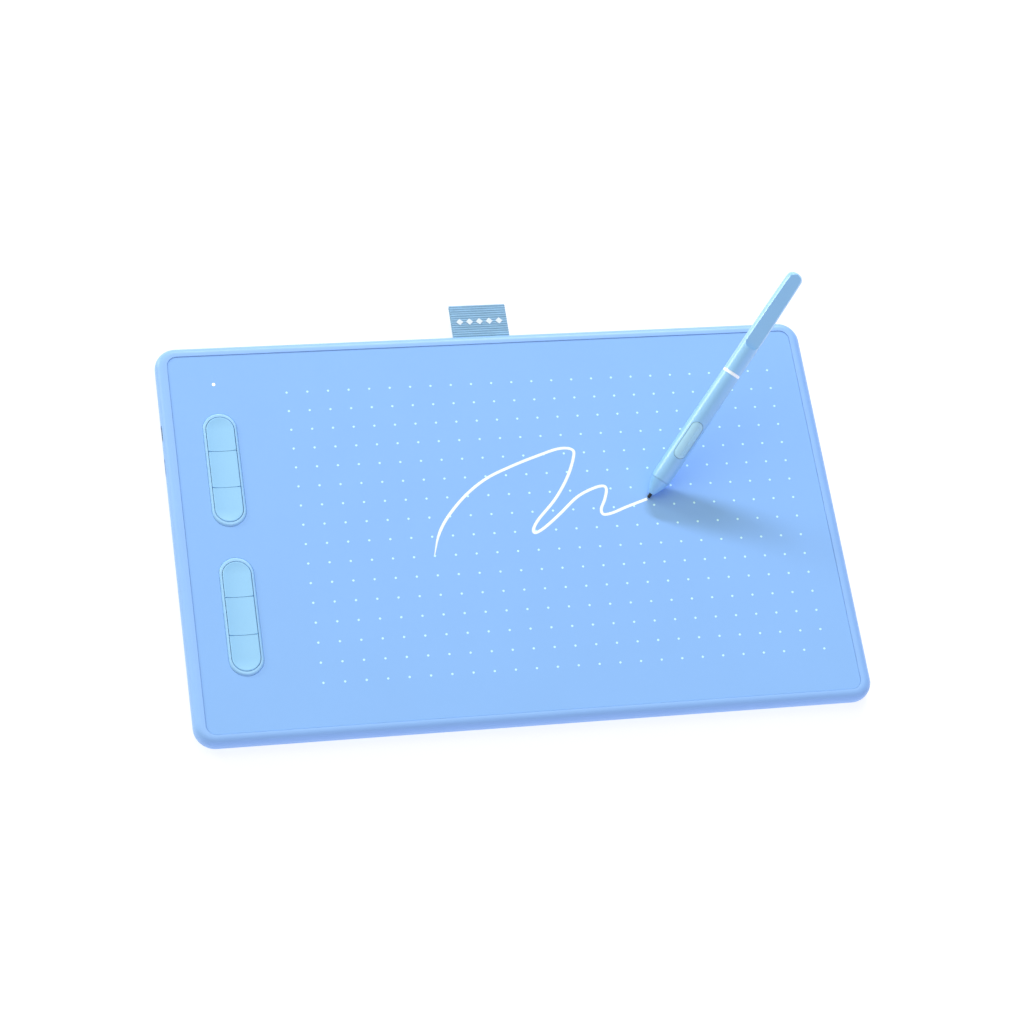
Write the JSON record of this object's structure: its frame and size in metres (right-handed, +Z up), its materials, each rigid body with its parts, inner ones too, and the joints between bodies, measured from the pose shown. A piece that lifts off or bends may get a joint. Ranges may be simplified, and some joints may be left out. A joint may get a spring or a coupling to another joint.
{
  "type": "pen drawing tablet",
  "caption": "Flat drawing tablet with a rounded rim, recessed dotted drawing sheet, two rows of sprung shortcut keys, a fabric pen loop, and a pen leaning on the sheet.",
  "frame": {"origin": "on the desk plane under the feet, below the middle of the case", "axes": "+X to the case's right along its length, +Y to its back where the pen loop is, +Z up"},
  "size_m": [0.34, 0.235, 0.0835],
  "materials": {
    "case_plastic": "satin moulded plastic",
    "drawing_film": "fine matt texture",
    "key_plastic": "satin",
    "bezel_plastic": "satin",
    "knob_plastic": "satin",
    "foot_rubber": "matt",
    "screw_steel": "plated",
    "inlet_steel": "plated",
    "chip_black": "moulded",
    "circuit_board": "solder mask",
    "switch_metal": "stamped",
    "led_white": "clear",
    "light_pipe_clear": "polished",
    "shield_aluminium": "rolled",
    "foam_grey": "open foam",
    "flex_amber": "film",
    "battery_foil": "foil pouch",
    "lead_rubber": "insulated",
    "ribbon_weave": "ribbed weave",
    "nib_black": "hard, matt",
    "pen_plastic": "satin",
    "rocker_plastic": "ribbed",
    "ring_white": "gloss",
    "pen_inner_plastic": "moulded",
    "ferrite": "sintered",
    "copper_winding": "enamelled wire"
  },
  "bodies": {
    "case": {"bottom_cover": "case_plastic", "top_cover": "case_plastic", "surface_sheet": "drawing_film", "case_screws": "screw_steel", "key_bezel_upper": "bezel_plastic", "key_bezel_lower": "bezel_plastic", "key_switches": "switch_metal", "main_board": "circuit_board", "board_chips": "chip_black", "usb_shell": "inlet_steel", "usb_tongue": "chip_black", "power_switch_body": "switch_metal", "status_led": "led_white", "light_pipe": "light_pipe_clear", "sensor_board": "circuit_board", "shield_plate": "shield_aluminium", "support_foam": "foam_grey", "ribbon_cable": "flex_amber", "battery": "battery_foil", "battery_leads": "lead_rubber", "pen_loop": "ribbon_weave", "loop_anchor_bar": "screw_steel", "rubber_foot_1": "foot_rubber", "rubber_foot_2": "foot_rubber", "rubber_foot_3": "foot_rubber", "rubber_foot_4": "foot_rubber"},
    "power_switch": {"power_switch_knob": "knob_plastic"},
    "pen": {"pen_cone": "pen_plastic", "pen_grip_barrel": "pen_plastic", "pen_ring": "ring_white", "pen_rear_barrel": "pen_plastic", "pen_chassis": "pen_inner_plastic", "pen_board": "circuit_board", "pen_switches": "switch_metal", "pen_ferrite": "ferrite", "pen_coil": "copper_winding", "pen_force_sensor": "switch_metal"},
    "nib": {"pen_nib": "nib_black", "nib_holder": "pen_inner_plastic"},
    "pen_button": {"pen_rocker": "rocker_plastic"},
    "key_1": {"key_1": "key_plastic", "key_plunger_1": "pen_inner_plastic"},
    "key_2": {"key_2": "key_plastic", "key_plunger_2": "pen_inner_plastic"},
    "key_3": {"key_3": "key_plastic", "key_plunger_3": "pen_inner_plastic"},
    "key_4": {"key_4": "key_plastic", "key_plunger_4": "pen_inner_plastic"},
    "key_5": {"key_5": "key_plastic", "key_plunger_5": "pen_inner_plastic"},
    "key_6": {"key_6": "key_plastic", "key_plunger_6": "pen_inner_plastic"}
  },
  "joints": [
    {"name": "key_1_press", "type": "slide", "parent": "case", "child": "key_1", "axis": [0, 0, -1], "range_m": [0, 0.0005], "stiffness_N_per_m": 1200},
    {"name": "key_2_press", "type": "slide", "parent": "case", "child": "key_2", "axis": [0, 0, -1], "range_m": [0, 0.0005], "stiffness_N_per_m": 1200},
    {"name": "key_3_press", "type": "slide", "parent": "case", "child": "key_3", "axis": [0, 0, -1], "range_m": [0, 0.0005], "stiffness_N_per_m": 1200},
    {"name": "key_4_press", "type": "slide", "parent": "case", "child": "key_4", "axis": [0, 0, -1], "range_m": [0, 0.0005], "stiffness_N_per_m": 1200},
    {"name": "key_5_press", "type": "slide", "parent": "case", "child": "key_5", "axis": [0, 0, -1], "range_m": [0, 0.0005], "stiffness_N_per_m": 1200},
    {"name": "key_6_press", "type": "slide", "parent": "case", "child": "key_6", "axis": [0, 0, -1], "range_m": [0, 0.0005], "stiffness_N_per_m": 1200},
    {"name": "power_slide", "type": "slide", "parent": "case", "child": "power_switch", "axis": [0, -1, 0], "range_m": [0, 0.0018]},
    {"name": "pen_lift", "type": "slide", "parent": "case", "child": "pen", "axis": [0.566, 0.6352, 0.5255], "range_m": [0, 0.12]},
    {"name": "nib_press", "type": "slide", "parent": "pen", "child": "nib", "axis": [0.566, 0.6352, 0.5255], "range_m": [0, 0.0004], "stiffness_N_per_m": 2000},
    {"name": "pen_button_rock", "type": "hinge", "parent": "pen", "child": "pen_button", "pos_m": [0.09149, 0.02931, 0.0316], "axis": [0.8141, -0.5313, -0.2345], "range_deg": [-2.2, 2.2], "stiffness_Nm_per_rad": 0.5}
  ]
}
